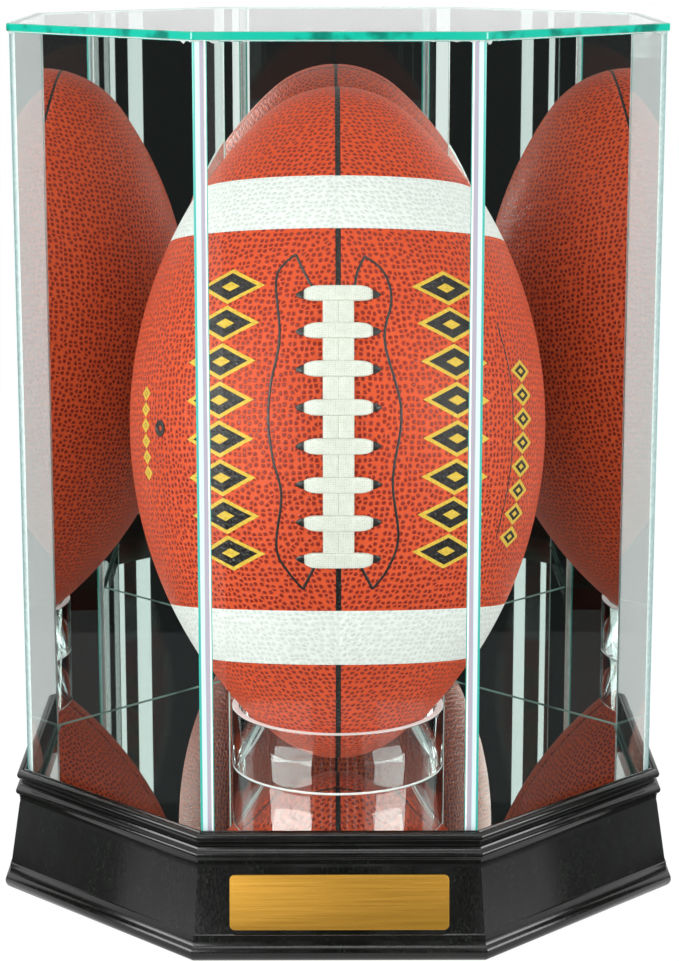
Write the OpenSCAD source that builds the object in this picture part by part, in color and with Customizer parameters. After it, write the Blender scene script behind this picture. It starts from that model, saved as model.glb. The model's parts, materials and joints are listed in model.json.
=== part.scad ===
// Octagonal display case for one football: a wood base with a mirror floor, a lift-off
// hood of clear and mirror panes, and the ball standing on its nose in a clear ring.
// Front is -Y, up is +Z, and the origin is the middle of the base's underside.

/* [Hood] */
// Width of the hood across two opposite panes
case_w = 250; // [242:1:270]
// Height of the whole case from the table to the top of the lid
case_h = 345; // [342:1:370]
// Thickness of each glass pane, mirror and the lid
glass_t = 3; // [2.5:0.1:3.2]
// How far the lid reaches past the panes
lid_reach = 1; // [0:0.5:3]
// Thickness of the clear adhesive in the glass joints
bond_t = 0.2; // [0.1:0.05:0.4]

/* [Base] */
// Height of the moulded rails
rail_h = 49; // [48:0.5:56]
// Height of the ledge that carries the floor board
ledge_z = 26.5; // [25:0.5:28]
// How far the rails reach inward under the panes
ledge_in = 6; // [5:0.5:12]
// Thickness of the floor board
board_t = 6; // [5:0.5:7]
// Clearance between the panes and the rails' lip
seat_gap = 0.6; // [0.4:0.1:1]

/* [Nameplate] */
// Length of the blank metal plate
plate_w = 82.5; // [60:0.5:90]
// Height of the plate
plate_h = 21; // [15:0.1:22.5]
// Thickness of the plate
plate_t = 0.8; // [0.5:0.1:1.5]
// Corner radius of the plate
plate_r = 2; // [0.5:0.5:6]

/* [Ring stand] */
// Outside diameter of the clear ring
ring_d = 89; // [86:0.5:90]
// Wall thickness of the ring
ring_wall = 3; // [2:0.1:4]
// Height of the ring
ring_h = 25.4; // [24:0.1:32]

/* [Football] */
// Length of the ball from tip to tip
ball_l = 280; // [276:0.5:282]
// Diameter of the ball around its belly
ball_d = 171.2; // [169:0.1:173]
// Radius of the ball's rounded noses
nose_r = 45; // [43:0.5:46]
// How far the ball leans back in its ring, in degrees
lean = 12; // [9:0.5:13]
// Thickness of the leather panels with their lining
leather_t = 3; // [2:0.1:4]
// Thickness of the rubber bladder
bladder_t = 1.5; // [1:0.1:2]
// Clearance between the ball and the ring it rests in
rest_gap = 0.3; // [0.3:0.05:0.6]

/* [Lacing] */
// Number of rows of lace
lace_rows = 8; // [6:1:9]
// Distance from row to row along the seam
lace_pitch = 14.9; // [12:0.1:16]
// Distance from the ball's middle to the middle row along the seam, downwards
lace_drop = 3.2; // [0:0.1:6]
// Half angle that each row covers around the ball, in degrees
lace_half_angle = 9; // [6:0.5:10]
// Width of each row
lace_w = 6; // [4:0.1:7]
// Thickness of the lace
lace_t = 1.6; // [1:0.1:2]

/* [Valve] */
// Radius of the rubber valve
valve_r = 3.4; // [3:0.1:4]
// How far below the ball's middle the valve sits
valve_drop = 3; // [0:0.5:8]
// How far around from the lacing the valve sits, in degrees
valve_turn = 55; // [45:1:65]

/* [Hidden] */
$fn = 96;
// Small overlap that lets joined outlines fuse.
EPS = 0.01;
SIDES = 8;
SIDE_ANGLE = 360 / SIDES;
MITRE = SIDE_ANGLE / 2;

// Distances from the middle to the faces of the glass.
pane_out = case_w / 2;
pane_in = pane_out - glass_t;
mirror_apothem = pane_in - 0.5;
board_apothem = pane_out + seat_gap / 2;

// Heights of the floor, the panes and the lid.
seat_z = ledge_z + board_t;
floor_z = seat_z + glass_t;
lid_z = case_h - glass_t;
bond_z = lid_z - bond_t;

// Rail outline, measured outward from the outer face of the panes.
bead_r = 3.5;
bead_e = 6.2;
bead_z = 3.2;
face_low = [7.2, 10.4];
face_high = [3.6, 34.6];
mid_bead_r = 1.8;
mid_bead = [3.0, 40.4];
rim_bead_r = 1.9;
rim_bead = [2.3, rail_h - 2.1];
rail_l = 2 * (pane_out + 12) * tan(MITRE);

// Corner fasteners and board nails, driven in from below and above.
v_leg = 8;
v_out = 2;
v_sheet = 0.6;
v_h = 10;
nail_r = 0.6;
nail_l = 15;

// Adhesive tape behind the nameplate.
tape_t = 0.5;
tape_inset = 2.2;

// Ball outline: one long arc and two nose arcs that meet it smoothly.
half_l = ball_l / 2;
belly_r = ball_d / 2;
nose_c = half_l - nose_r;
arc_off = (nose_c * nose_c - pow(belly_r - nose_r, 2)) / (2 * (belly_r - nose_r));
arc_r = arc_off + belly_r;
meet_angle = atan2(nose_c, arc_off);

// Lace strands along the seam: width, distance from the seam and lift off the panels.
strand_w = 5.4;
strand_x = 3;
lace_lift = 0.05;

// Resting place: the long arc leans against the front and back of the ring's inner rim.
rim_in = ring_d / 2 - ring_wall;
ring_top = floor_z + ring_h;
rest_h = sqrt(rim_in * rim_in + 2 * rim_in * arc_off * cos(lean) + arc_off * arc_off);
rest_s = sqrt(pow(arc_r + rest_gap, 2) - rest_h * rest_h) / rest_h;
ball_y = rest_s * arc_off * sin(lean);
ball_z = ring_top + rest_s * (rim_in + arc_off * cos(lean));

// ---- Outline helpers -------------------------------------------------------------

// Points along an arc, from angle a0 to a1, counted in steps.
function arc_points(c, r, a0, a1, steps = 10) =
    [for (i = [0:steps]) let (a = a0 + (a1 - a0) * i / steps) [c[0] + r * cos(a), c[1] + r * sin(a)]];

// Points of a curve between two points that sags sideways by depth.
function sag_points(p, q, depth, steps = 6) =
    [for (i = [1:steps - 1]) let (t = i / steps, d = q - p)
        p + t * d + 4 * t * (1 - t) * depth * [-d[1], d[0]] / norm(d)];

// A regular octagon that has a flat side at the front.
module octagon(apothem) {
    rotate(MITRE) circle(r = apothem / cos(MITRE), $fn = SIDES);
}

// A rectangle with round corners.
module rounded_plate(w, h, r) {
    square([w - 2 * r, h], center = true);
    square([w, h - 2 * r], center = true);
    for (x = [-1, 1], y = [-1, 1])
        translate([x * (w / 2 - r), y * (h / 2 - r)]) circle(r = r);
}

// Turns a front piece round to side i, counted anticlockwise from the front.
module to_side(i) {
    rotate([0, 0, i * SIDE_ANGLE]) children();
}

// ---- Base ------------------------------------------------------------------------

// Cross-section of a rail: x is outward from the panes' outer face, y is height.
module rail_outline() {
    bead_start = -asin(bead_z / bead_r);
    cove_end = mid_bead + mid_bead_r * [cos(-70), sin(-70)];
    neck_high = [3.1, mid_bead[1] + 2.9];
    polygon(concat(
        [[-ledge_in, 0]],
        arc_points([bead_e, bead_z], bead_r, bead_start, 55, 16),
        sag_points([8.2, 6.1], [7.7, 10], 0.7),
        [[7.7, 10]],
        [face_low, face_high],
        sag_points(face_high, cove_end, 0.4),
        arc_points(mid_bead, mid_bead_r, -70, 60, 10),
        sag_points(mid_bead + [0.9, 1.6], neck_high, 0.3),
        [neck_high, [2.4, neck_high[1] + 0.2]],
        arc_points(rim_bead, rim_bead_r, -80, 100, 14),
        [[1.7, rail_h - 0.8], [1.5, rail_h], [seat_gap, rail_h]],
        [[seat_gap, ledge_z], [-ledge_in, ledge_z]]));
}

// One mitred rail, standing at side i.
module base_rail(i) {
    color("#1d1f1c") to_side(i) intersection() {
        translate([0, -pane_out, 0]) rotate([90, 0, -90])
            linear_extrude(height = rail_l, center = true) rail_outline();
        linear_extrude(height = rail_h + 1) polygon([
            [0, 0],
            [-rail_l * cos(MITRE), -rail_l * cos(MITRE) / tan(MITRE)],
            [rail_l * cos(MITRE), -rail_l * cos(MITRE) / tan(MITRE)]]);
    }
}

module base_rail_front() { base_rail(0); }
module base_rail_front_right() { base_rail(1); }
module base_rail_right() { base_rail(2); }
module base_rail_back_right() { base_rail(3); }
module base_rail_back() { base_rail(4); }
module base_rail_back_left() { base_rail(5); }
module base_rail_left() { base_rail(6); }
module base_rail_front_left() { base_rail(7); }

// Folded steel fasteners pressed up across the underside of each mitre.
module v_nails() {
    color("#8f9296") for (i = [0:SIDES - 1]) to_side(i) rotate([0, 0, MITRE])
        translate([0, -(pane_out + v_out) / cos(MITRE), 0]) linear_extrude(height = v_h)
            for (s = [-1, 1]) rotate(s * SIDE_ANGLE) translate([-v_sheet / 2, 0]) square([v_sheet, v_leg]);
}

// Board that rests on the rails' ledge and carries the mirror and the panes.
module floor_board() {
    color("#3a2c20") translate([0, 0, ledge_z])
        linear_extrude(height = board_t) octagon(board_apothem);
}

// Nails that hold the board down, one in the middle of each side.
module board_nails() {
    color("#a8abae") for (i = [0:SIDES - 1]) to_side(i)
        translate([0, -(pane_out - ledge_in / 2), seat_z - nail_l]) cylinder(r = nail_r, h = nail_l);
}

module floor_mirror() {
    color("#c9cfcd") translate([0, 0, seat_z])
        linear_extrude(height = glass_t) octagon(mirror_apothem);
}

// Places a flat piece on the front rail's sloping face, out from the wood by lift.
module on_front_face(lift) {
    middle = (face_low + face_high) / 2;
    slope = atan2(face_low[0] - face_high[0], face_high[1] - face_low[1]);
    translate([0, -pane_out - middle[0], middle[1]]) rotate([90 - slope, 0, 0])
        translate([0, 0, lift]) children();
}

module nameplate() {
    color("#c79a3a") on_front_face(tape_t)
        linear_extrude(height = plate_t) rounded_plate(plate_w, plate_h, plate_r);
}

module nameplate_tape() {
    color("#d8d4c4") on_front_face(0) linear_extrude(height = tape_t)
        square([plate_w - 2 * tape_inset, plate_h - 2 * tape_inset], center = true);
}

module ring_stand() {
    color("#dfe8e8", 0.5) translate([0, 0, floor_z]) difference() {
        cylinder(r = ring_d / 2, h = ring_h);
        translate([0, 0, -1]) cylinder(r = rim_in, h = ring_h + 2);
    }
}

// ---- Hood ------------------------------------------------------------------------

// Plan of a corner pane: full width outside, its ends cut flush with its neighbours' faces.
module wide_pane_plan() {
    half = pane_out * tan(MITRE);
    lap = glass_t * tan(SIDE_ANGLE);
    polygon([[-half, -pane_out], [half, -pane_out], [half + lap, -pane_in], [-half - lap, -pane_in]]);
}

// Plan of a straight pane: it fits between the inner faces of two corner panes.
module narrow_pane_plan(gap) {
    half = pane_out * tan(MITRE) - (glass_t + gap) / sin(SIDE_ANGLE);
    lap = glass_t * tan(SIDE_ANGLE);
    polygon([[-half, -pane_out], [half, -pane_out], [half + lap, -pane_in], [-half - lap, -pane_in]]);
}

// Stands the panes of side i on the floor board: odd sides are corner panes.
module pane(i) {
    to_side(i) translate([0, 0, seat_z]) linear_extrude(height = bond_z - seat_z)
        if (i % 2 == 1) wide_pane_plan();
        else narrow_pane_plan(bond_t);
}

module front_glass() { color("#cfe6e0", 0.4) pane(0); }
module front_right_glass() { color("#cfe6e0", 0.4) pane(1); }
module right_glass() { color("#cfe6e0", 0.4) pane(2); }
module back_right_mirror() { color("#b9bfbe") pane(3); }
module back_mirror() { color("#b9bfbe") pane(4); }
module back_left_mirror() { color("#b9bfbe") pane(5); }
module left_glass() { color("#cfe6e0", 0.4) pane(6); }
module front_left_glass() { color("#cfe6e0", 0.4) pane(7); }

module lid_glass() {
    color("#9fd8cb", 0.5) translate([0, 0, lid_z])
        linear_extrude(height = glass_t) octagon(pane_out + lid_reach);
}

// Clear films that fill the eight upright joints, at both ends of each straight pane.
module corner_adhesive() {
    color("#e8f0ee", 0.6) for (i = [0:2:SIDES - 1]) to_side(i)
        translate([0, 0, seat_z]) linear_extrude(height = bond_z - seat_z) difference() {
            narrow_pane_plan(0);
            narrow_pane_plan(bond_t);
        }
}

// Clear film between the lid and the tops of the panes.
module lid_adhesive() {
    color("#e8f0ee", 0.6) translate([0, 0, bond_z]) linear_extrude(height = bond_t) difference() {
        octagon(pane_out);
        octagon(pane_in);
    }
}

// ---- Football --------------------------------------------------------------------

// Stands a piece made around the ball's own upright axis in the ring.
module in_ring() {
    translate([0, ball_y, ball_z]) rotate([-lean, 0, 0]) children();
}

// Right half of the ball's outline, drawn inside its surface by inset.
module ball_outline(inset) {
    long_r = arc_r - inset;
    meet_z = long_r * sin(meet_angle);
    intersection() {
        translate([-arc_off, 0]) circle(r = long_r);
        translate([0, -meet_z]) square([belly_r, 2 * meet_z]);
    }
    for (end = [0, 1]) mirror([0, end]) intersection() {
        translate([0, nose_c]) circle(r = nose_r - inset);
        translate([0, meet_z - EPS]) square([nose_r, half_l]);
    }
}

// A quarter shell from seam to seam, counted anticlockwise from the front left.
module panel(i) {
    in_ring() rotate([0, 0, 180 + 90 * i]) rotate_extrude(angle = 90) difference() {
        ball_outline(0);
        ball_outline(leather_t);
    }
}

module panel_front_left() {
    color("#c8502f") difference() {
        panel(0);
        in_ring() valve_hole();
    }
}

module panel_front_right() { color("#c8502f") panel(1); }
module panel_back_right() { color("#c8502f") panel(2); }
module panel_back_left() { color("#c8502f") panel(3); }

// Air bladder inside the panels.
module bladder() {
    skin = leather_t + rest_gap;
    color("#1b1b1b") in_ring() rotate_extrude() difference() {
        ball_outline(skin);
        ball_outline(skin + bladder_t);
    }
}

// Points a piece out through the ball at the valve's place.
module at_valve() {
    translate([0, 0, -valve_drop]) rotate([0, 0, -90 - valve_turn]) rotate([0, 90, 0]) children();
}

module valve_hole() {
    at_valve() translate([0, 0, belly_r - 8]) cylinder(r = valve_r + 0.1, h = 12);
}

// Rubber valve, from the bladder to just under the ball's surface.
module valve() {
    foot = belly_r - leather_t - rest_gap + 0.1;
    color("#2a2320") in_ring() at_valve() translate([0, 0, foot])
        cylinder(r = valve_r, h = belly_r - 0.4 - foot);
}

// Latitude of lace row i, in degrees along the ball's long arc.
function row_angle(i) = (((lace_rows - 1) / 2 - i) * lace_pitch - lace_drop) / arc_r * 180 / PI;

// A strand that follows the front seam between two latitudes.
module seam_strand(a0, a1, w) {
    translate([0, arc_off, 0]) rotate([0, 90, 0]) rotate([0, 0, -90 - a1])
        rotate_extrude(angle = a1 - a0, $fn = 360)
            translate([arc_r + lace_lift, -w / 2]) square([lace_t, w]);
}

// A row that crosses the seam at latitude a.
module cross_row(a) {
    rotate([0, 0, -90 - lace_half_angle])
        rotate_extrude(angle = 2 * lace_half_angle) translate([-arc_off, 0]) rotate(a)
            translate([arc_r + lace_lift + lace_t / 2, -lace_w / 2]) square([lace_t, lace_w]);
}

// One lace: two strands side by side along the seam, and the rows that cross them.
module lace() {
    over = (lace_w / 2 + 1) / arc_r * 180 / PI;
    color("#efe9dc") in_ring() {
        for (s = [-1, 1]) translate([s * strand_x, 0, 0])
            seam_strand(row_angle(lace_rows - 1) - over, row_angle(0) + over, strand_w);
        for (i = [0:lace_rows - 1]) cross_row(row_angle(i));
    }
}

base_rail_front();
base_rail_front_right();
base_rail_right();
base_rail_back_right();
base_rail_back();
base_rail_back_left();
base_rail_left();
base_rail_front_left();
v_nails();
floor_board();
board_nails();
floor_mirror();
nameplate();
nameplate_tape();
ring_stand();
lid_glass();
front_glass();
front_right_glass();
right_glass();
back_right_mirror();
back_mirror();
back_left_mirror();
left_glass();
front_left_glass();
corner_adhesive();
lid_adhesive();
panel_front_left();
panel_front_right();
panel_back_right();
panel_back_left();
bladder();
lace();
valve();
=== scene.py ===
"""A football display case: a glass hood with mirrors at the back, a moulded wood base and the
ball on its nose in a clear ring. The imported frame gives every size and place."""

import json
import math
from contextlib import contextmanager

import bmesh
import bpy
from bpy.props import FloatProperty, PointerProperty, StringProperty
from mathutils import Matrix, Vector, noise


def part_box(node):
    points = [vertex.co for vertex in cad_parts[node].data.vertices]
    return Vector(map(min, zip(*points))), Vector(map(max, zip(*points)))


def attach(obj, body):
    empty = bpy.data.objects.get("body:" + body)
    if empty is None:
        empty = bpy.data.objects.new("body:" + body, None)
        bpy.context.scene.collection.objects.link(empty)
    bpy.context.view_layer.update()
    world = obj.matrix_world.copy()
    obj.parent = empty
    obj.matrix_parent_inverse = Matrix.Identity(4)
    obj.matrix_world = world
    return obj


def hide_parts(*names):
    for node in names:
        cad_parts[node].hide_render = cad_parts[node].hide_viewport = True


bl_info = {
    "name": "Football display case",
    "version": (1, 0, 0),
    "blender": (4, 5, 0),
    "location": "View3D > Sidebar > Display case",
    "description": "Builds the looks of an octagonal football display case round its frame",
    "category": "Object",
}

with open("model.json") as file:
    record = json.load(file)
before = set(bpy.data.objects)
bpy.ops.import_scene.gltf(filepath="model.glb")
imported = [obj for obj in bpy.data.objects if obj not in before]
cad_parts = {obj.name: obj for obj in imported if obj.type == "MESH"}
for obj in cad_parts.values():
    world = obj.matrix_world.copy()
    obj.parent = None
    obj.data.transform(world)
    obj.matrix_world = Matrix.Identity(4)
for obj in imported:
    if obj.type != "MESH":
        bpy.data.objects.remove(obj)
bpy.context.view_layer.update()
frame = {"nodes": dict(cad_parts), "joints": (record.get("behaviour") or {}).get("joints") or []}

MM = 0.001
SIDES = 8
SIDE = math.tau / SIDES
MITRE = SIDE / 2
SIDE_NAMES = (
    "front", "front_right", "right", "back_right",
    "back", "back_left", "left", "front_left",
)

# Places that the frame gives.
GLASS_OUT = -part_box("front_glass")[0].y
LID_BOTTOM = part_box("lid_glass")[0].z
RAIL_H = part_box("base_rail_front")[1].z
RAIL_OUT = -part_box("base_rail_front")[0].y
BOARD_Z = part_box("floor_board")[0].z

TURN = next(joint for joint in frame["joints"] if joint["name"] == "football_turn")
BALL_CENTRE = Vector(TURN["pos_m"])
LEAN = math.atan2(TURN["axis"][1], TURN["axis"][2])
BALL_PLACE = Matrix.Translation(BALL_CENTRE) @ Matrix.Rotation(-LEAN, 4, "X")
BELLY_R = -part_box("panel_front_left")[0].x
BALL_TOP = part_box("panel_front_left")[1].z

# Dark cloth that the mirrors reflect: its distance in front, its height, and the left and right
# edge of each strip of it. The same for the grey floor before the case.
CLOTH_Y = 0.45
CLOTH_TOP = 0.5
CLOTH_EDGES = (
    -0.24, -0.155, -0.151, -0.14, -0.132, -0.067, -0.055, 0.069,
    0.083, 0.1325, 0.1425, 0.1515, 0.161, 0.24,
)
GREY_EDGES = (-0.7, -0.045, -0.012, 0.02, 0.044, 0.7)

# Lamps that look at the middle of the case: name, place, width, height and watts.
LAMPS = (
    ("key_lamp", (-0.93, -0.75, 0.43), 1.25, 0.4, 14),
    ("fill_lamp", (1.05, -0.6, 0.43), 0.9, 0.4, 9.5),
    ("top_lamp", (0, -0.5, 1.4), 1.5, 0.08, 3.5),
)
LAMP_TARGET = Vector((0, 0, 0.18))

# Depth of a rail from its foot bead to its inner face.
RAIL_DEPTH = 15.7 * MM

# Rows of lozenges on the ball: degrees from the front seam, first end in mm along the meridian,
# count, pitch and half width in mm.
LOZENGE_ROWS = (
    (-33.0, -60.8, 8, 15.2, 15.5),
    (33.0, -60.0, 8, 15.0, 15.5),
    (59.0, -52.0, 8, 9.6, 8.0),
    (-63.5, -24.0, 6, 6.4, 4.0),
)

# The two stripes, in mm from the ball's middle along its axis.
STRIPE_FROM, STRIPE_TO = 75.0, 97.0

# The valve: radius, place along the axis, and turn from the +X side.
VALVE_R = 3.35 * MM
VALVE_ALONG = -3 * MM
VALVE_TURN = math.radians(-145)

# Painted lines on the ball: points as (mm along the meridian, degrees from the front seam),
# then the line's radius and how deep its middle lies.
PAINTED_LINES = (
    (((50, -6.5), (57, -9.5), (66, -13)), 0.85 * MM, 0.6 * MM),
    (((66, -13), (62, -16.3), (55, -18.3), (32, -16), (13, -18), (-1, -18.5), (-15, -17.5),
      (-30, -15.5), (-51, -18), (-61, -15), (-68, -11)), 0.85 * MM, 0.6 * MM),
    (((-68, -11), (-56, -6)), 0.85 * MM, 0.6 * MM),
    (((50, 4.5), (58, 5.5), (65, 8)), 0.85 * MM, 0.6 * MM),
    (((65, 8), (61, 12), (55, 14.5), (46, 15), (30, 12.5), (3, 16.5), (-24, 14.5), (-47, 17),
      (-60, 14.5), (-68, 10.5)), 0.85 * MM, 0.6 * MM),
    (((-68, 10.5), (-56, 5.5)), 0.85 * MM, 0.6 * MM),
    (((39, 50), (17, 53), (-5, 53.5), (-26, 53), (-47, 51.5)), 0.5 * MM, 0.35 * MM),
)


# ---- Settings --------------------------------------------------------------------


def length_prop(name, default, description):
    return FloatProperty(name=name, description=description, default=default, unit="LENGTH")


def angle_prop(name, degrees, description):
    return FloatProperty(
        name=name, description=description, default=math.radians(degrees), unit="ROTATION")


def number_prop(name, default, description):
    return FloatProperty(name=name, description=description, default=default)


def colour_prop(name, default, description):
    return StringProperty(name=name, description=description, default=default)


class StageSettings(bpy.types.PropertyGroup):
    """Camera, floor and surroundings."""

    camera_x: length_prop("Camera X", -0.0049, "Sideways place of the camera")
    camera_distance: length_prop("Camera distance", 1.0658, "From the case's middle")
    camera_height: length_prop("Camera height", 0.3853, "Above the table")
    camera_pitch: angle_prop("Camera pitch", 12.12, "Downward tilt")
    camera_yaw: angle_prop("Camera yaw", 0.302, "Turn to the right")
    lens: number_prop("Lens", 98.77, "Focal length in mm on a 36 mm side")
    floor_colour: colour_prop("Floor", "#F4F4F2", "Colour of the floor")
    floor_glow: number_prop("Floor glow", 1.06, "Brightness of the floor as seen")
    world_light: number_prop("World light", 0.36, "Light from the pale surroundings")
    world_seen: number_prop("World seen", 1.0, "Brightness of the surroundings as seen")
    world_mirrored: number_prop("World mirrored", 1.15, "Brightness of the surroundings in mirrors")


class CaseSettings(bpy.types.PropertyGroup):
    """Glass and mirrors."""

    arris: length_prop("Arris", 0.35 * MM, "Width of the ground edge of each pane")
    glass_colour: colour_prop("Glass", "#FBFEFD", "Tint of one glass surface")
    edge_colour: colour_prop("Glass edge", "#10A890", "Colour of cut glass edges")
    floor_edge_colour: colour_prop("Floor mirror edge", "#8AA8A0", "Colour of the floor mirror's edge")
    seam_colour: colour_prop("Seam", "#2FA79B", "Colour of the panes' green arrises")
    mirror_colour: colour_prop("Mirror", "#E9EFED", "Tint of the silvered glass")


class WoodSettings(bpy.types.PropertyGroup):
    """Moulded rails of the base."""

    stain: colour_prop("Stain", "#0A0B09", "Colour of the stained wood")
    grain: colour_prop("Grain", "#1D231E", "Colour of the pores that show through")


class BallSettings(bpy.types.PropertyGroup):
    """Leather, stripes and lacing of the ball."""

    nose_r: length_prop("Nose radius", 45 * MM, "Radius of the ball's rounded ends")
    mesh_step: length_prop("Mesh step", 2.2 * MM, "Distance between points on the skin")
    leather_t: length_prop("Leather", 2.6 * MM, "Thickness of the panels")
    lace_pitch: length_prop("Lace pitch", 14.9 * MM, "Distance from row to row")
    lace_drop: length_prop("Lace drop", 3.2 * MM, "From the ball's middle to the middle of the rows")
    lace_length: length_prop("Lace row", 27 * MM, "Length of one row of lace")
    seam_depth: length_prop("Seam depth", 0.9 * MM, "How far the seams are pulled in")
    seam_half: length_prop("Seam half width", 1.5 * MM, "Half the width of the seam's groove")
    pebble: number_prop("Pebble", 2.4, "Distance between grain pebbles in mm")
    leather: colour_prop("Leather", "#DC5224", "Colour between the pebbles")
    pebble_colour: colour_prop("Pebbles", "#8E1E0C", "Colour of the pebbles")
    stripe: colour_prop("Stripe", "#E9E9E5", "Paint of the two stripes")
    ink: colour_prop("Ink", "#120D0B", "Black of the seams and the ornament")
    lace: colour_prop("Lace", "#CCCABE", "Colour of the lace")
    gold: colour_prop("Gold", "#D9B23C", "Outline of the ornament")


# ---- Small helpers -----------------------------------------------------------------


def linear(hex_colour):
    """An sRGB hex colour as linear RGBA."""
    channels = [int(hex_colour[i : i + 2], 16) / 255 for i in (1, 3, 5)]
    return [c / 12.92 if c <= 0.04045 else ((c + 0.055) / 1.055) ** 2.4 for c in channels] + [1.0]


def deselect():
    if bpy.context.mode != "OBJECT":
        bpy.ops.object.mode_set(mode="OBJECT")
    bpy.ops.object.select_all(action="DESELECT")


def activate(obj):
    deselect()
    obj.select_set(True)
    bpy.context.view_layer.objects.active = obj


@contextmanager
def editing(obj, mode="VERT"):
    """Edit mode on one object."""
    activate(obj)
    bpy.ops.object.mode_set(mode="EDIT")
    bpy.ops.mesh.select_mode(type=mode)
    yield
    bpy.ops.object.mode_set(mode="OBJECT")


def pick(kind, test):
    """Selects the vertices, edges or faces of the edited mesh whose middle passes the test."""
    mesh = bmesh.from_edit_mesh(bpy.context.edit_object.data)
    bpy.ops.mesh.select_all(action="DESELECT")
    for item in getattr(mesh, kind):
        if kind == "verts":
            chosen = test(item.co)
        elif kind == "edges":
            chosen = test((item.verts[0].co + item.verts[1].co) / 2)
        else:
            chosen = test(item.calc_center_median())
        if chosen:
            item.select_set(True)
    mesh.select_flush_mode()
    bmesh.update_edit_mesh(bpy.context.edit_object.data)


def modify(obj, kind, **settings):
    """Adds a modifier and applies it."""
    activate(obj)
    modifier = obj.modifiers.new(kind.title(), kind)
    for name, value in settings.items():
        setattr(modifier, name, value)
    bpy.ops.object.modifier_apply(modifier=modifier.name)


def ease(obj, width, degrees):
    """Rounds the edges that are sharper than an angle."""
    modify(
        obj, "BEVEL", width=width, segments=2,
        limit_method="ANGLE", angle_limit=math.radians(degrees),
    )


def settle(obj, place=None):
    """Puts an object's place into its mesh."""
    if place is not None:
        obj.matrix_world = place @ obj.matrix_world
    activate(obj)
    bpy.ops.object.transform_apply(location=True, rotation=True, scale=True)


def smooth(obj, angle=35):
    activate(obj)
    bpy.ops.object.shade_smooth_by_angle(angle=math.radians(angle))


def outward(obj):
    """Turns every face of a closed piece outward."""
    with editing(obj):
        bpy.ops.mesh.select_all(action="SELECT")
        bpy.ops.mesh.remove_doubles(threshold=1e-6)
        bpy.ops.mesh.normals_make_consistent(inside=False)


def merged_copy(node, name):
    """A welded copy of a frame node, with flat faces in one piece each."""
    obj = bpy.data.objects.new(name, frame["nodes"][node].data.copy())
    bpy.context.scene.collection.objects.link(obj)
    obj.data.materials.clear()
    activate(obj)
    bpy.ops.mesh.customdata_custom_splitnormals_clear()
    bpy.ops.object.shade_flat()
    with editing(obj):
        bpy.ops.mesh.select_all(action="SELECT")
        bpy.ops.mesh.remove_doubles(threshold=1e-6)
        bpy.ops.mesh.dissolve_limited(angle_limit=math.radians(0.5))
    return obj


def copy_of(obj, name):
    twin = bpy.data.objects.new(name, obj.data.copy())
    bpy.context.scene.collection.objects.link(twin)
    return twin


def turned(angle):
    return Matrix.Rotation(angle, 4, "Z")


def vertex_start(name, place):
    """A new object that holds one vertex, the start of an outline."""
    deselect()
    bpy.ops.mesh.primitive_plane_add(size=MM, location=(0, 0, 0))
    obj = bpy.context.object
    obj.name = name
    with editing(obj):
        bpy.ops.mesh.select_all(action="SELECT")
        bpy.ops.mesh.merge(type="CENTER")
        bpy.ops.transform.translate(value=place)
    return obj


def line_to(start, end):
    """Draws the outline on from its end vertex, in edit mode. Returns the new end."""
    step = Vector(end) - Vector(start)
    bpy.ops.mesh.extrude_region_move(TRANSFORM_OT_translate={"value": step})
    return Vector(end)


def sweep(steps, angle, centre, axis):
    """Spins the selection by the right-hand rule, which the spin tool turns round."""
    bpy.ops.mesh.spin(steps=steps, angle=-angle, center=centre, axis=axis)


def arc_to(start, centre, angle, steps, axis=(0, -1, 0)):
    """Sweeps the outline's end vertex round a centre, in edit mode. Returns the new end."""
    sweep(steps, angle, centre, axis)
    arm = Vector(start) - Vector(centre)
    return Vector(centre) + Matrix.Rotation(angle, 3, Vector(axis)) @ arm


def tube(name, points, radius, scales=None):
    """A closed tube through the points, as a mesh. Scales multiply its radius point by point."""
    curve = bpy.data.curves.new(name, "CURVE")
    curve.dimensions = "3D"
    curve.bevel_depth = radius
    curve.bevel_resolution = 2
    curve.use_fill_caps = True
    spline = curve.splines.new("POLY")
    spline.points.add(len(points) - 1)
    for index, place in enumerate(points):
        spline.points[index].co = (*place, 1)
        if scales:
            spline.points[index].radius = scales[index]
    obj = bpy.data.objects.new(name, curve)
    bpy.context.scene.collection.objects.link(obj)
    activate(obj)
    bpy.ops.object.convert(target="MESH")
    return bpy.context.object


def refinish(node, material):
    """Gives a piece of the frame another material."""
    mesh = frame["nodes"][node].data
    mesh.materials.clear()
    mesh.materials.append(material)


def finish_piece(obj, body, slot, material, *replaced):
    obj.data.materials.clear()
    obj.data.materials.append(material)
    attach(obj, body)
    if replaced:
        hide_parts(*replaced)
    return obj


# ---- Materials ---------------------------------------------------------------------


def new_material(name):
    material = bpy.data.materials.new(name)
    material.use_nodes = True
    material.node_tree.nodes.clear()
    return material, material.node_tree


def add(tree, kind, settings=None, **links):
    """Adds a shader node. Settings are its own values; links set its sockets by name, where _ is a
    space and a trailing number picks a socket by place. A socket as value makes a link."""
    node = tree.nodes.new(kind)
    for name, value in (settings or {}).items():
        setattr(node, name, value)
    for name, value in links.items():
        key = int(name[3:]) if name.startswith("at_") else name.replace("_", " ")
        socket = node.inputs[key]
        if isinstance(value, bpy.types.NodeSocket):
            tree.links.new(value, socket)
        else:
            socket.default_value = value
    return node


def math_node(tree, operation, a, b=0.0, c=0.0):
    return add(tree, "ShaderNodeMath", {"operation": operation}, at_0=a, at_1=b, at_2=c).outputs[0]


def map_range(tree, value, low, high, out_low=0.0, out_high=1.0):
    return add(
        tree, "ShaderNodeMapRange", {"interpolation_type": "SMOOTHSTEP"},
        Value=value, From_Min=low, From_Max=high, To_Min=out_low, To_Max=out_high,
    ).outputs[0]


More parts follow.
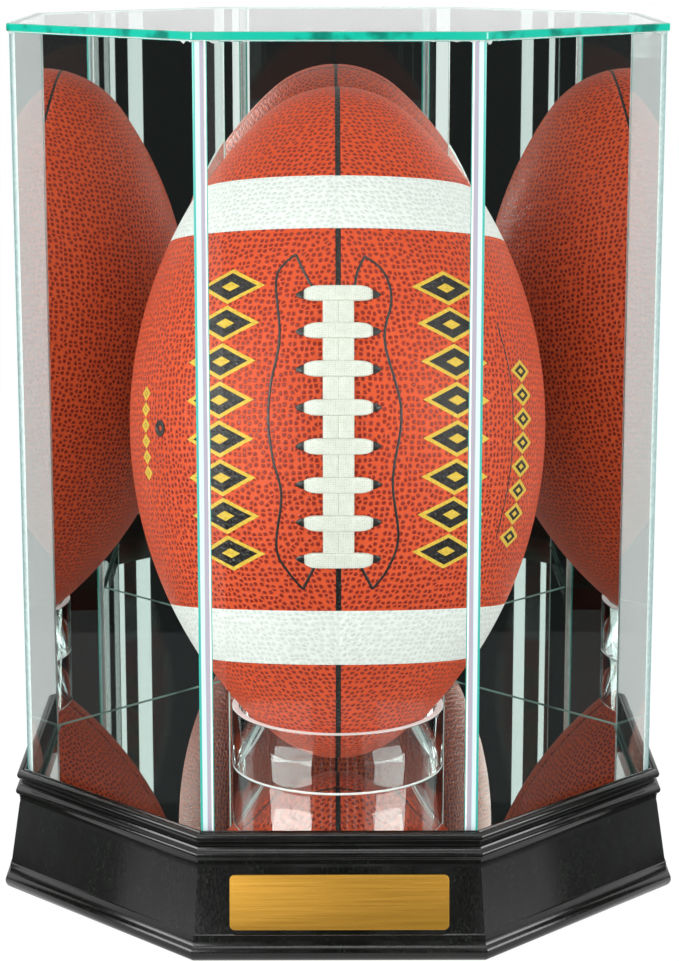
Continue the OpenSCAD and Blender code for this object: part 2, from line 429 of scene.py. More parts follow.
def mix_colour(tree, factor, a, b):
    node = add(tree, "ShaderNodeMix", {"data_type": "RGBA"}, at_0=factor)
    for index, value in ((6, a), (7, b)):
        if isinstance(value, bpy.types.NodeSocket):
            tree.links.new(value, node.inputs[index])
        else:
            node.inputs[index].default_value = value
    return node.outputs[2]


def output(tree, surface):
    add(tree, "ShaderNodeOutputMaterial", Surface=surface)


def overlay(material, share, shader):
    """Mixes another shader over a material's own surface."""
    tree = material.node_tree
    end = tree.nodes["Material Output"].inputs["Surface"]
    own = end.links[0].from_socket
    both = add(tree, "ShaderNodeMixShader", at_0=share, at_1=own, at_2=shader).outputs[0]
    tree.links.new(both, end)
    return material


def object_coordinates(tree, scale=1.0):
    """Object coordinates in millimetres times scale."""
    source = add(tree, "ShaderNodeTexCoord").outputs["Object"]
    size = 1 / MM * scale
    return add(tree, "ShaderNodeMapping", Vector=source, Scale=(size, size, size)).outputs[0]


def clear_glass(name, tint, ior=1.36, coated=0.4):
    """Clear float glass: lamps and soft light pass it as through a window. The coating takes its
    share off every reflection."""
    material, tree = new_material(name)
    glass = add(
        tree, "ShaderNodeBsdfPrincipled",
        Base_Color=linear(tint), Roughness=0.0, IOR=ior, Transmission_Weight=1.0,
    ).outputs[0]
    window = add(tree, "ShaderNodeBsdfTransparent", Color=linear(tint)).outputs[0]
    path = add(tree, "ShaderNodeLightPath").outputs
    lamps = math_node(tree, "MAXIMUM", path["Is Shadow Ray"], path["Is Diffuse Ray"])
    calm = add(tree, "ShaderNodeBsdfRefraction", Color=linear(tint), Roughness=0.0, IOR=ior)
    output(tree, glass)
    overlay(material, coated, calm.outputs[0])
    return overlay(material, lamps, window)


def cast_acrylic():
    """Polished clear acrylic tube whose sawn end faces are satin and carry a painted white glow
    that stands in for the light they catch.
    """
    material = clear_glass("cast clear acrylic", "#FAFDFD", ior=1.49, coated=0.0)
    tree = material.node_tree
    normal = add(tree, "ShaderNodeTexCoord").outputs["Normal"]
    parts = add(tree, "ShaderNodeSeparateXYZ", Vector=normal).outputs
    upward = math_node(tree, "ABSOLUTE", parts[2])
    sawn = math_node(tree, "MULTIPLY", map_range(tree, upward, 0.35, 0.8), 0.6)
    # Satin finish on the sawn end faces, plus a painted white glow (emission) that stands in for
    # caught light.
    satin = add(
        tree, "ShaderNodeBsdfPrincipled", Base_Color=linear("#FFFFFF"), Roughness=0.35,
        Emission_Color=linear("#FFFFFF"), Emission_Strength=0.35,
    ).outputs[0]
    return overlay(material, sawn, satin)


def cut_glass_edge(name, tint):
    """Ground and polished edge of float glass: deep green, with a painted glow in its own colour
    that stands in for the light it pipes."""
    material, tree = new_material(name)
    place = object_coordinates(tree, 1 / 14)
    cloud = add(tree, "ShaderNodeTexNoise", Vector=place, Scale=1.0, Detail=3.0).outputs[0]
    deep = [c * 0.4 for c in linear(tint)[:3]] + [1.0]
    colour = mix_colour(tree, map_range(tree, cloud, 0.52, 0.68), linear(tint), deep)
    # The emission is a painted glow in the edge's colour, not a lamp.
    surface = add(
        tree, "ShaderNodeBsdfPrincipled", Base_Color=colour, Roughness=0.18, IOR=1.5,
        Coat_Weight=0.4, Coat_Roughness=0.05, Emission_Color=colour, Emission_Strength=0.1,
    ).outputs[0]
    output(tree, surface)
    return material


def seamed_glass_edge(name, tint):
    """Seamed edge of a corner pane, seen end on: a green arris, then pale and grey bands through
    the thickness, streaked along the pane."""
    material, tree = new_material(name)
    depth = add(tree, "ShaderNodeAttribute", {"attribute_name": "depth"}).outputs["Vector"]
    parts = add(tree, "ShaderNodeSeparateXYZ", Vector=depth).outputs
    streak = add(tree, "ShaderNodeMapping", Vector=depth, Scale=(2.2, 0.01, 0.012)).outputs[0]
    cloud = add(tree, "ShaderNodeTexNoise", Vector=streak, Scale=1.0, Detail=2.0).outputs[0]
    sideways = math_node(tree, "SUBTRACT", cloud, 0.5)
    shifted = math_node(tree, "MULTIPLY_ADD", sideways, 0.5, parts[0])
    pale = mix_colour(tree, map_range(tree, parts[0], 0.3, 0.6), linear(tint), linear("#CBE2E3"))
    banded = mix_colour(tree, map_range(tree, shifted, 1.5, 1.8), pale, linear("#A9A4B2"))
    inner = mix_colour(tree, map_range(tree, shifted, 2.6, 2.85), banded, linear("#DCE6E6"))
    surface = add(
        tree, "ShaderNodeBsdfPrincipled", Base_Color=inner, Roughness=0.25, IOR=1.5,
        Coat_Weight=0.3, Coat_Roughness=0.05,
    ).outputs[0]
    output(tree, surface)
    return material


def silvered_mirror(name, tint):
    """Silver behind float glass: a slightly green, sharp reflection."""
    material, tree = new_material(name)
    surface = add(
        tree, "ShaderNodeBsdfPrincipled", Base_Color=linear(tint), Metallic=1.0, Roughness=0.008,
    ).outputs[0]
    output(tree, surface)
    return material


def plain(name, colour, roughness, metallic=0.0, speckle=0.06, grain_mm=3.0, bump=0.02):
    """A quiet finish whose colour and gloss vary a little over the surface."""
    material, tree = new_material(name)
    place = object_coordinates(tree, 1 / grain_mm)
    cloud = add(tree, "ShaderNodeTexNoise", Vector=place, Scale=1.0, Detail=4.0).outputs[0]
    base = linear(colour)
    dark = [c * (1 - 3 * speckle) for c in base[:3]] + [1.0]
    light = [min(1.0, c * (1 + 3 * speckle)) for c in base[:3]] + [1.0]
    tone = mix_colour(tree, map_range(tree, cloud, 0.35, 0.65), dark, light)
    rough = map_range(tree, cloud, 0.3, 0.7, roughness * 0.85, roughness * 1.15)
    normal = add(tree, "ShaderNodeBump", Strength=0.3, Distance=bump * MM, Height=cloud).outputs[0]
    surface = add(
        tree, "ShaderNodeBsdfPrincipled",
        Base_Color=tone, Roughness=rough, Metallic=metallic, Normal=normal,
    ).outputs[0]
    output(tree, surface)
    return material


def stained_wood(settings):
    """Black stained hardwood under satin lacquer: short upright flecks of open grain."""
    material, tree = new_material("black stained hardwood, satin lacquer")
    grain = add(tree, "ShaderNodeAttribute", {"attribute_name": "grain"}).outputs["Vector"]
    flecks = add(tree, "ShaderNodeMapping", Vector=grain, Scale=(1.7, 1.7, 0.6)).outputs[0]
    fine = add(
        tree, "ShaderNodeTexNoise", Vector=flecks, Scale=1.0, Detail=5.0, Roughness=0.65,
    ).outputs[0]
    wide = add(tree, "ShaderNodeMapping", Vector=grain, Scale=(0.16, 0.16, 0.07)).outputs[0]
    cloud = add(tree, "ShaderNodeTexNoise", Vector=wide, Scale=1.0, Detail=3.0).outputs[0]
    pores = math_node(
        tree, "MULTIPLY", map_range(tree, fine, 0.5, 0.66), map_range(tree, cloud, 0.4, 0.62))
    colour = mix_colour(tree, pores, linear(settings.stain), linear(settings.grain))
    rough = map_range(tree, fine, 0.3, 0.7, 0.14, 0.24)
    normal = add(tree, "ShaderNodeBump", Strength=0.25, Distance=0.06 * MM, Height=fine).outputs[0]
    surface = add(
        tree, "ShaderNodeBsdfPrincipled",
        Base_Color=colour, Roughness=rough, IOR=1.45, Normal=normal,
    ).outputs[0]
    output(tree, surface)
    return material


def brushed_gold():
    """Satin gold-coloured metal sheet, brushed along its length."""
    material, tree = new_material("brushed gold-coloured brass sheet")
    place = add(tree, "ShaderNodeTexCoord").outputs["Object"]
    brushed = add(tree, "ShaderNodeMapping", Vector=place, Scale=(25.0, 4000.0, 4000.0)).outputs[0]
    lines = add(tree, "ShaderNodeTexNoise", Vector=brushed, Scale=1.0, Detail=3.0).outputs[0]
    colour = mix_colour(tree, lines, linear("#C28D2C"), linear("#D3A142"))
    rough = map_range(tree, lines, 0.3, 0.7, 0.34, 0.5)
    normal = add(tree, "ShaderNodeBump", Strength=0.15, Distance=0.03 * MM, Height=lines).outputs[0]
    surface = add(
        tree, "ShaderNodeBsdfPrincipled",
        Base_Color=colour, Metallic=0.75, Roughness=rough, Normal=normal,
    ).outputs[0]
    output(tree, surface)
    return material


def lozenge_row(tree, along, across, start, count, pitch, half_across):
    """Masks of a row of lozenges in mm: (outline, filling)."""
    half_along = 0.48 * pitch
    from_start = math_node(tree, "SUBTRACT", along, start + pitch / 2)
    cell = math_node(tree, "WRAP", from_start, pitch / 2, -pitch / 2)
    shape = math_node(
        tree, "ADD",
        math_node(tree, "DIVIDE", math_node(tree, "ABSOLUTE", cell), half_along),
        math_node(tree, "DIVIDE", math_node(tree, "ABSOLUTE", across), half_across),
    )
    inside = math_node(
        tree, "MULTIPLY",
        math_node(tree, "GREATER_THAN", along, start),
        math_node(tree, "LESS_THAN", along, start + count * pitch),
    )
    outline = math_node(tree, "MULTIPLY", inside, math_node(tree, "LESS_THAN", shape, 1.0))
    rim = 1 - 1.1 * (1 / half_along + 1 / half_across)
    core = math_node(tree, "MULTIPLY", inside, math_node(tree, "LESS_THAN", shape, rim))
    hole = math_node(tree, "LESS_THAN", shape, 0.28)
    filling = math_node(tree, "MULTIPLY", core, math_node(tree, "SUBTRACT", 1.0, hole))
    return outline, filling


def football_leather(settings):
    """Pebble-grained leather with painted stripes and ornament."""
    material, tree = new_material("pebble-grain football leather")
    ball = add(tree, "ShaderNodeAttribute", {"attribute_name": "ball"}).outputs["Vector"]
    skin = add(tree, "ShaderNodeAttribute", {"attribute_name": "skin"}).outputs["Vector"]
    along, angle, radius = add(tree, "ShaderNodeSeparateXYZ", Vector=skin).outputs
    ball_z = add(tree, "ShaderNodeSeparateXYZ", Vector=ball).outputs[2]
    height = math_node(tree, "ABSOLUTE", ball_z)
    turn = math_node(tree, "ABSOLUTE", angle)
    front = math_node(tree, "LESS_THAN", turn, math.pi / 2)

    quarter = math.pi / 2
    from_middle = math_node(
        tree, "WRAP", math_node(tree, "SUBTRACT", angle, quarter / 2), quarter / 2, -quarter / 2)
    panel = math_node(tree, "FLOOR", math_node(tree, "DIVIDE", angle, quarter))
    across = math_node(tree, "MULTIPLY", from_middle, radius)
    flat = add(
        tree, "ShaderNodeCombineXYZ",
        at_0=math_node(tree, "MULTIPLY_ADD", panel, 211.0, across), at_1=along,
    ).outputs[0]
    pebbles, rims = (
        add(
            tree, "ShaderNodeTexVoronoi", {"feature": feature, "voronoi_dimensions": "2D"},
            Vector=flat, Scale=1 / settings.pebble, Randomness=0.62,
        ).outputs["Distance"]
        for feature in ("F1", "DISTANCE_TO_EDGE")
    )
    dome = map_range(tree, pebbles, 0.22, 0.52, 1.0, 0.0)
    dot = math_node(tree, "MULTIPLY", dome, map_range(tree, rims, 0.06, 0.2))
    cloud = add(tree, "ShaderNodeTexNoise", Vector=ball, Scale=1 / 35, Detail=3.0).outputs[0]
    web = mix_colour(tree, cloud, linear("#CB431B"), linear(settings.leather))
    pip = mix_colour(tree, cloud, linear("#7E1C0E"), linear(settings.pebble_colour))
    hide = mix_colour(tree, dot, web, pip)

    stripe = math_node(tree, "MULTIPLY", front, math_node(
        tree, "MULTIPLY",
        math_node(tree, "GREATER_THAN", height, STRIPE_FROM),
        math_node(tree, "LESS_THAN", height, STRIPE_TO),
    ))
    painted = mix_colour(tree, dot, linear(settings.stripe), linear("#DCDCD8"))

    def seam_mask(middle, half):
        gap = math_node(tree, "ABSOLUTE", math_node(tree, "SUBTRACT", turn, middle))
        return math_node(tree, "LESS_THAN", math_node(tree, "MULTIPLY", gap, radius), half)

    seams = math_node(tree, "MAXIMUM", seam_mask(0.0, 1.1), math_node(
        tree, "MAXIMUM", seam_mask(math.pi / 2, 0.6), seam_mask(math.pi, 0.8)))

    colour = hide
    for degrees, start, count, pitch, half_across in LOZENGE_ROWS:
        offset = math_node(tree, "SUBTRACT", angle, math.radians(degrees))
        aside = math_node(tree, "MULTIPLY", offset, radius)
        outline, filling = lozenge_row(tree, along, aside, start, count, pitch, half_across)
        colour = mix_colour(tree, outline, colour, linear(settings.gold))
        colour = mix_colour(tree, filling, colour, linear(settings.ink))
    colour = mix_colour(tree, seams, colour, linear(settings.ink))
    colour = mix_colour(tree, stripe, colour, painted)

    rough = map_range(tree, dot, 0.0, 1.0, 0.55, 0.42)
    fine = add(tree, "ShaderNodeTexNoise", Vector=ball, Scale=1.6, Detail=3.0).outputs[0]
    relief = math_node(tree, "ADD", dot, math_node(tree, "MULTIPLY", fine, 0.25))
    normal = add(tree, "ShaderNodeBump", Strength=0.7, Distance=0.35 * MM, Height=relief).outputs[0]
    surface = add(
        tree, "ShaderNodeBsdfPrincipled", Base_Color=colour, Roughness=rough, Normal=normal,
        IOR=1.38,
    ).outputs[0]
    output(tree, surface)
    return material


# ---- Base --------------------------------------------------------------------------


def bead(end, centre, radius, below, above, steps):
    """Draws a bead from an angle below its middle to an angle above it. Returns the new end."""
    end = line_to(end, centre + radius * Vector((0, -math.cos(below), -math.sin(below))))
    return arc_to(end, centre, below + above, steps, (-1, 0, 0))


def draw_rail_outline(obj, inner):
    """Draws the moulding's cross-section in the plane x = 0, outward along -Y, from its inner
    lower corner round. Its places are in mm outward from the glass and up from the table."""

    def at(out, up):
        return Vector((0, -(GLASS_OUT + out * MM), up * MM))

    def lines(end, *places):
        for out, up in places:
            end = line_to(end, at(out, up))
        return end

    top = RAIL_H / MM
    board = BOARD_Z / MM
    with editing(obj):
        bpy.ops.mesh.select_all(action="SELECT")
        foot_up, foot_r = 3.2, 3.5
        end = lines(at(inner, 0), (7.6, 0))
        below = math.asin(foot_up / foot_r)
        end = bead(end, at(6.2, foot_up), foot_r * MM, below, math.radians(55), 14)
        end = lines(end, (7.75, 7.2), (7.55, 8.6), (7.7, 10.0), (7.2, 10.4))
        end = lines(end, (3.6, 34.6), (3.25, 36.3), (3.3, 37.7))
        end = bead(end, at(3.0, 40.4), 1.8 * MM, math.radians(70), math.radians(60), 12)
        end = lines(end, (3.3, 42.6), (3.1, 43.3), (2.4, 43.5), (2.4, top - 4.0))
        end = bead(end, at(2.3, top - 2.1), 1.9 * MM, math.radians(80), math.radians(100), 16)
        lines(end, (1.7, top - 0.8), (1.5, top), (0.6, top), (0.6, board), (inner, board))
        bpy.ops.mesh.select_all(action="SELECT")
        bpy.ops.mesh.edge_face_add()


def moulded_rail():
    """One rail at the front, mitred at both ends."""
    inner = (RAIL_OUT - GLASS_OUT - RAIL_DEPTH) / MM
    obj = vertex_start("rail_front", (0, -(GLASS_OUT + inner * MM), 0))
    draw_rail_outline(obj, inner)
    spare = 10 * MM
    run = 2 * (RAIL_OUT + spare) * math.tan(MITRE)
    with editing(obj):
        bpy.ops.mesh.select_all(action="SELECT")
        bpy.ops.transform.translate(value=(-run / 2, 0, 0))
        bpy.ops.mesh.extrude_region_move(TRANSFORM_OT_translate={"value": (run, 0, 0)})
        for side in (-1, 1):
            bpy.ops.mesh.select_all(action="SELECT")
            bpy.ops.mesh.bisect(
                plane_co=(0, 0, 0), plane_no=(side * math.cos(MITRE), math.sin(MITRE), 0),
                use_fill=True, clear_outer=True,
            )
    outward(obj)
    ease(obj, 0.22 * MM, 25)
    smooth(obj, 30)
    return obj


def write_vectors(obj, name, values):
    """Stores one vector per vertex."""
    attribute = obj.data.attributes.new(name, "FLOAT_VECTOR", "POINT")
    attribute.data.foreach_set("vector", [c for value in values for c in value])


class CASE_OT_rails(bpy.types.Operator):
    """Builds the eight mitred rails of the base"""

    bl_idname = "display_case.rails"
    bl_label = "Moulded rails"

    def execute(self, context):
        material = stained_wood(context.scene.case_wood)
        other_wood = 311.0  # mm that give each rail its own stretch of grain
        first = moulded_rail()
        for index, side in enumerate(SIDE_NAMES):
            rail = copy_of(first, f"rail_{side}_wood")
            shift = other_wood * index
            grain = [
                (v.co.x / MM + shift, v.co.y / MM, v.co.z / MM) for v in rail.data.vertices]
            write_vectors(rail, "grain", grain)
            settle(rail, turned(index * SIDE))
            finish_piece(rail, "base", "stained_wood", material, f"base_rail_{side}")
        bpy.data.objects.remove(first)
        return {"FINISHED"}


class CASE_OT_floor(bpy.types.Operator):
    """Builds the floor board and the mirror that lies on it"""

    bl_idname = "display_case.floor"
    bl_label = "Floor"

    def execute(self, context):
        case = context.scene.case_glass
        board = merged_copy("floor_board", "floor_fibreboard")
        modify(board, "BEVEL", width=0.4 * MM, segments=2)
        fibre = plain("raw fibreboard", "#5C452F", 0.85, speckle=0.12, grain_mm=1.5, bump=0.1)
        finish_piece(board, "base", "board", fibre, "floor_board")
        mirror = merged_copy("floor_mirror", "floor_mirror_glass")
        modify(mirror, "BEVEL", width=case.arris * 2, segments=1)
        silver = silvered_mirror("silvered floor mirror", case.mirror_colour)
        finish_piece(mirror, "base", "mirror", silver, "floor_mirror")
        edge = cut_glass_edge("cut edge of the floor mirror", case.floor_edge_colour)
        mirror.data.materials.append(edge)
        for face in mirror.data.polygons:
            face.material_index = 0 if face.normal.z > 0.99 else 1
        return {"FINISHED"}


class CASE_OT_nameplate(bpy.types.Operator):
    """Builds the blank gold-coloured plate and its tape"""

    bl_idname = "display_case.nameplate"
    bl_label = "Nameplate"

    def execute(self, context):
        plate = merged_copy("nameplate", "nameplate_metal")
        ease(plate, 0.15 * MM, 50)
        smooth(plate)
        finish_piece(plate, "base", "gold_plate", brushed_gold(), "nameplate")
        refinish("nameplate_tape", plain("foam mounting tape", "#D8D4C4", 0.8, grain_mm=0.8))
        return {"FINISHED"}


class CASE_OT_ring(bpy.types.Operator):
    """Builds the clear ring that holds the ball"""

    bl_idname = "display_case.ring"
    bl_label = "Ring stand"

    def execute(self, context):
        low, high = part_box("ring_stand")
        outer = high.x
        wall = 3.0 * MM
        soft = 0.5 * MM
        corners = (
            ((outer - soft, 0, low.z + soft), (0, 0, -soft)),
            ((outer - soft, 0, high.z - soft), (soft, 0, 0)),
            ((outer - wall + soft, 0, high.z - soft), (0, 0, soft)),
            ((outer - wall + soft, 0, low.z + soft), (-soft, 0, 0)),
        )
        end = Vector((outer - wall + soft, 0, low.z))
        obj = vertex_start("ring_stand_acrylic", end)
        with editing(obj):
            bpy.ops.mesh.select_all(action="SELECT")
            for centre, arm in corners:
                end = line_to(end, Vector(centre) + Vector(arm))
                end = arc_to(end, centre, math.radians(90), 4)
            bpy.ops.mesh.select_all(action="SELECT")
            bpy.ops.mesh.remove_doubles(threshold=1e-6)
            bpy.ops.mesh.select_all(action="SELECT")
            sweep(128, math.tau, (0, 0, 0), (0, 0, 1))
        outward(obj)
        smooth(obj, 60)
        finish_piece(obj, "base", "clear_plastic", cast_acrylic(), "ring_stand")
        return {"FINISHED"}


# ---- Hood --------------------------------------------------------------------------


def ground_pane(node, name, arris):
    """A pane with ground arrises."""
    obj = merged_copy(node, name)
    modify(obj, "BEVEL", width=arris, segments=1)
    return obj


def broad_faces(obj, normal, first=0, second=0):
    """Gives the faces along a normal their slots, and every other face the last slot."""
    last = len(obj.data.materials) - 1
    for face in obj.data.polygons:
        facing = face.normal.dot(normal)
        face.material_index = first if facing > 0.999 else second if facing < -0.999 else last


class CASE_OT_panes(bpy.types.Operator):
    """Builds the five clear panes of the hood"""

    bl_idname = "display_case.panes"
    bl_label = "Clear panes"

    def execute(self, context):
        case = context.scene.case_glass
        clear = clear_glass("clear float glass", case.glass_colour)
        edge = seamed_glass_edge("seamed float glass edge", case.seam_colour)
        other_streaks = 53.0  # mm that give each pane its own streaks
        for index, side in enumerate(SIDE_NAMES):
            if "back" in side:
                continue
            pane = ground_pane(f"{side}_glass", f"pane_{side}_glass", case.arris)
            outside = turned(index * SIDE) @ Vector((0, -1, 0))
            depths = [
                ((GLASS_OUT - v.co.dot(outside)) / MM, index * other_streaks, v.co.z / MM)
                for v in pane.data.vertices
            ]
            write_vectors(pane, "depth", depths)
            finish_piece(pane, "hood", "clear_glass", clear, f"{side}_glass")
            pane.data.materials.append(edge)
            broad_faces(pane, outside)
        return {"FINISHED"}


class CASE_OT_mirrors(bpy.types.Operator):
    """Builds the three mirror panes at the back"""

    bl_idname = "display_case.mirrors"
    bl_label = "Mirror panes"

    def execute(self, context):
        case = context.scene.case_glass
        silver = silvered_mirror("silvered float glass", case.mirror_colour)
        edge = cut_glass_edge("cut mirror edge", case.edge_colour)
        paint = plain(
            "grey mirror backing paint", "#6E7476", 0.6, speckle=0.04, grain_mm=6.0, bump=0.03)
        for index, side in enumerate(SIDE_NAMES):
            if "back" not in side:
                continue
            pane = ground_pane(f"{side}_mirror", f"pane_{side}_mirror", case.arris)
            finish_piece(pane, "hood", "mirror", silver, f"{side}_mirror")
            pane.data.materials.append(paint)
            pane.data.materials.append(edge)
            broad_faces(pane, turned(index * SIDE) @ Vector((0, 1, 0)), 0, 1)
        return {"FINISHED"}


class CASE_OT_lid(bpy.types.Operator):
    """Builds the lid pane"""

    bl_idname = "display_case.lid"
    bl_label = "Lid"

    def execute(self, context):
        case = context.scene.case_glass
        lid = ground_pane("lid_glass", "lid_plate_glass", case.arris)
        clear = clear_glass("clear lid glass", case.glass_colour)
        finish_piece(lid, "hood", "clear_glass", clear, "lid_glass")
        lid.data.materials.append(cut_glass_edge("polished lid edge", case.edge_colour))
        broad_faces(lid, Vector((0, 0, 1)))
        return {"FINISHED"}


def squeezed_adhesive():
    """Clear adhesive that has set in uneven lumps."""
    material, tree = new_material("squeezed-out clear adhesive")
    place = object_coordinates(tree)
    cloud = add(tree, "ShaderNodeTexNoise", Vector=place, Scale=0.9).outputs[0]
    normal = add(tree, "ShaderNodeBump", Strength=0.4, Distance=0.2 * MM, Height=cloud).outputs[0]
    surface = add(
        tree, "ShaderNodeBsdfPrincipled", Base_Color=linear("#EEF5F3"), Roughness=0.35, IOR=1.45,
        Transmission_Weight=0.55, Normal=normal,
    ).outputs[0]
    output(tree, surface)
    return material


class CASE_OT_adhesive(bpy.types.Operator):
    """Finishes the clear adhesive and builds what has come out of the joints"""

    bl_idname = "display_case.adhesive"
    bl_label = "Adhesive"

    def execute(self, context):
        film = plain("cured clear adhesive", "#F4FAF8", 0.25, speckle=0.02, grain_mm=2.0)
        refinish("corner_adhesive", film)
        refinish("lid_adhesive", film)
        lumps = squeezed_adhesive()
        clear_panes = [index for index, side in enumerate(SIDE_NAMES) if "back" not in side]
        runs = [self.squeeze_out(index) for index in clear_panes]
        beads = join(runs, "adhesive_squeeze_out")
        smooth(beads, 60)
        finish_piece(beads, "hood", "adhesive", lumps)
        return {"FINISHED"}

    def squeeze_out(self, index):
        """Uneven adhesive that has come out under the lid along one pane, most at its corners."""
        half = GLASS_OUT * math.tan(MITRE)
        steps = 90
        corner_from = 0.55
        flatten = 0.45
        points, scales = [], []
        for step in range(steps + 1):
            place = (step / steps * 2 - 1) * half
            corner = max(0.0, abs(place) / half - corner_from) / (1 - corner_from)
            lump = max(0.0, noise.noise(Vector((place / MM * 0.35, index * 7.0, 0))))
            fine = max(0.0, noise.noise(Vector((place / MM * 1.1, index * 7.0, 5))))
            scales.append(0.06 + lump * (0.25 + 2.4 * corner) + fine * (0.1 + 0.5 * corner))
            points.append((place, -(GLASS_OUT + 0.15 * MM), LID_BOTTOM - 0.25 * MM))
        obj = tube(f"squeeze_{index}", points, MM, scales)
        for vertex in obj.data.vertices:
            vertex.co.z = min(vertex.co.z, LID_BOTTOM)
            vertex.co.y = -GLASS_OUT + (vertex.co.y + GLASS_OUT) * flatten
        settle(obj, turned(index * SIDE))
        return obj


# ---- Football ----------------------------------------------------------------------


def ball_numbers(settings):
    """Distances of the ball's outline: nose centre, long arc's offset and radius, meeting angle."""
    nose_c = (BALL_TOP - BALL_CENTRE.z - settings.nose_r) / math.cos(LEAN)
    rise = BELLY_R - settings.nose_r
    offset = (nose_c**2 - rise**2) / (2 * rise)
    return nose_c, offset, offset + BELLY_R, math.atan2(nose_c, offset)


def skin_place(settings, point):
    """(distance along the meridian from the middle, distance from the axis) in metres."""
    nose_c, offset, arc_r, meet = ball_numbers(settings)
    radius = math.hypot(point.x, point.y)
    height = abs(point.z)
    angle = math.atan2(height, offset + radius)
    if angle > meet:
        turn = math.atan2(height - nose_c, radius)
        length = arc_r * meet + settings.nose_r * (turn - meet)
    else:
        length = arc_r * angle
    return math.copysign(length, point.z), radius


def quarter_skin(settings):
    """A quarter of the ball's skin between the front and the left seam, in the ball's own frame."""
    nose_c, offset, arc_r, meet = ball_numbers(settings)
    nose_r = settings.nose_r
    half = nose_c + nose_r
    cap = math.pi / 2 - meet
    nose_steps = round(nose_r * cap / settings.mesh_step)
    arc_steps = round(2 * arc_r * meet / settings.mesh_step)
    obj = vertex_start("ball_quarter", (0, 0, -half))
    with editing(obj):
        bpy.ops.mesh.select_all(action="SELECT")
        end = arc_to((0, 0, -half), (0, 0, -nose_c), cap, nose_steps)
        end = arc_to(end, (-offset, 0, 0), 2 * meet, arc_steps)
        arc_to(end, (0, 0, nose_c), cap, nose_steps)
        bpy.ops.mesh.select_all(action="SELECT")
        near = 2.4 * MM / BELLY_R
        around = round((math.pi / 2 - 2 * near) * BELLY_R / settings.mesh_step)
        for steps, angle in ((4, near), (around, math.pi / 2 - 2 * near), (4, near)):
            sweep(steps, angle, (0, 0, 0), (0, 0, 1))
        bpy.ops.mesh.select_all(action="SELECT")
        bpy.ops.mesh.remove_doubles(threshold=1e-6)
        bpy.ops.mesh.flip_normals()
    return obj


class CASE_OT_panels(bpy.types.Operator):
    """Builds the four leather panels of the ball"""

    bl_idname = "display_case.panels"
    bl_label = "Ball panels"

    def execute(self, context):
        settings = context.scene.case_ball
        material = football_leather(settings)
        quarter = quarter_skin(settings)
        quarters = ("front_left", "front_right", "back_right", "back_left")
        for index, name in enumerate(quarters):
            panel = copy_of(quarter, f"ball_{name}_leather")
            settle(panel, turned(math.pi + index * math.pi / 2))
            left = "left" in name
            ball, skin = [], []
            for vertex in panel.data.vertices:
                point = vertex.co.copy()
                along, radius = skin_place(settings, point)
                angle = math.atan2(point.x, -point.y)
                if radius < 1e-5:
                    angle = math.radians(-45 if left else 45)
                elif left and angle > 0.01:
                    angle -= math.tau
                ball.append(point / MM)
                skin.append((along / MM, angle, radius / MM))
                turn = abs(angle) % (math.pi / 2)
                to_seam = min(turn, math.pi / 2 - turn) * radius
                pull = math.exp(-((to_seam / settings.seam_half) ** 2)) * settings.seam_depth
                inward = -Vector((point.x, point.y, 0)).normalized() if radius > 1e-5 else Vector()
                vertex.co += inward * pull * min(1.0, radius / (20 * MM))
            write_vectors(panel, "ball", ball)
            write_vectors(panel, "skin", skin)
            modify(panel, "SOLIDIFY", thickness=settings.leather_t, offset=-1)
            settle(panel, BALL_PLACE)
            smooth(panel, 60)
            finish_piece(panel, "football", "ball_leather", material, f"panel_{name}")
        bpy.data.objects.remove(quarter)
        refinish("bladder", plain("black butyl rubber", "#1B1B1B", 0.6))
        return {"FINISHED"}


def skin_point(settings, along, angle, lift=0.0):
    """The place at a distance along the meridian and an angle from the front seam, in the ball's
    own frame."""
    _, offset, arc_r, _ = ball_numbers(settings)
    latitude = along / arc_r
    reach = (arc_r + lift) * math.cos(latitude) - offset
    height = (arc_r + lift) * math.sin(latitude)
    return Vector((reach * math.sin(angle), -reach * math.cos(angle), height))


def skin_radius(settings, along):
    """Distance of the skin from the ball's axis."""
    return skin_point(settings, along, math.pi / 2).x


def puffed_strip(name, length, width, thick, cuts, end_scale):
    """A straight padded strip along X with its width along Z, rounded all over."""
    deselect()
    bpy.ops.mesh.primitive_cube_add(size=1, location=(0, 0, 0))
    strip = bpy.context.object
    strip.name = name
    strip.scale = (length, thick, width)
    settle(strip)
    with editing(strip):
        for index in range(1, cuts):
            bpy.ops.mesh.select_all(action="SELECT")
            place = (index / cuts - 0.5) * length
            bpy.ops.mesh.bisect(plane_co=(place, 0, 0), plane_no=(1, 0, 0))
        for place in (-0.3, 0, 0.3):
            bpy.ops.mesh.select_all(action="SELECT")
            bpy.ops.mesh.bisect(plane_co=(0, 0, place * width), plane_no=(0, 0, 1))
        for side in (-1, 1):
            pick("verts", lambda co: co.x * side > length * 0.499)
            bpy.ops.transform.resize(
                value=(1, 0.7, end_scale), center_override=(side * length / 2, 0, 0))
    modify(strip, "SUBSURF", levels=2, render_levels=2)
    write_vectors(strip, "weave", [v.co / MM for v in strip.data.vertices])
    return strip


def bend(strip, place):
    """Moves every point of a straight strip to its place on the ball."""
    for vertex in strip.data.vertices:
        vertex.co = place(vertex.co)


def join(parts, name):
    activate(parts[0])
    for part in parts:
        part.select_set(True)
    bpy.ops.object.join()
    parts[0].name = name
    return parts[0]


def row_places(settings, rows=8):
    """Distance along the seam of each row of lace, from the top."""
    middle = (rows - 1) / 2
    return [(middle - index) * settings.lace_pitch - settings.lace_drop for index in range(rows)]


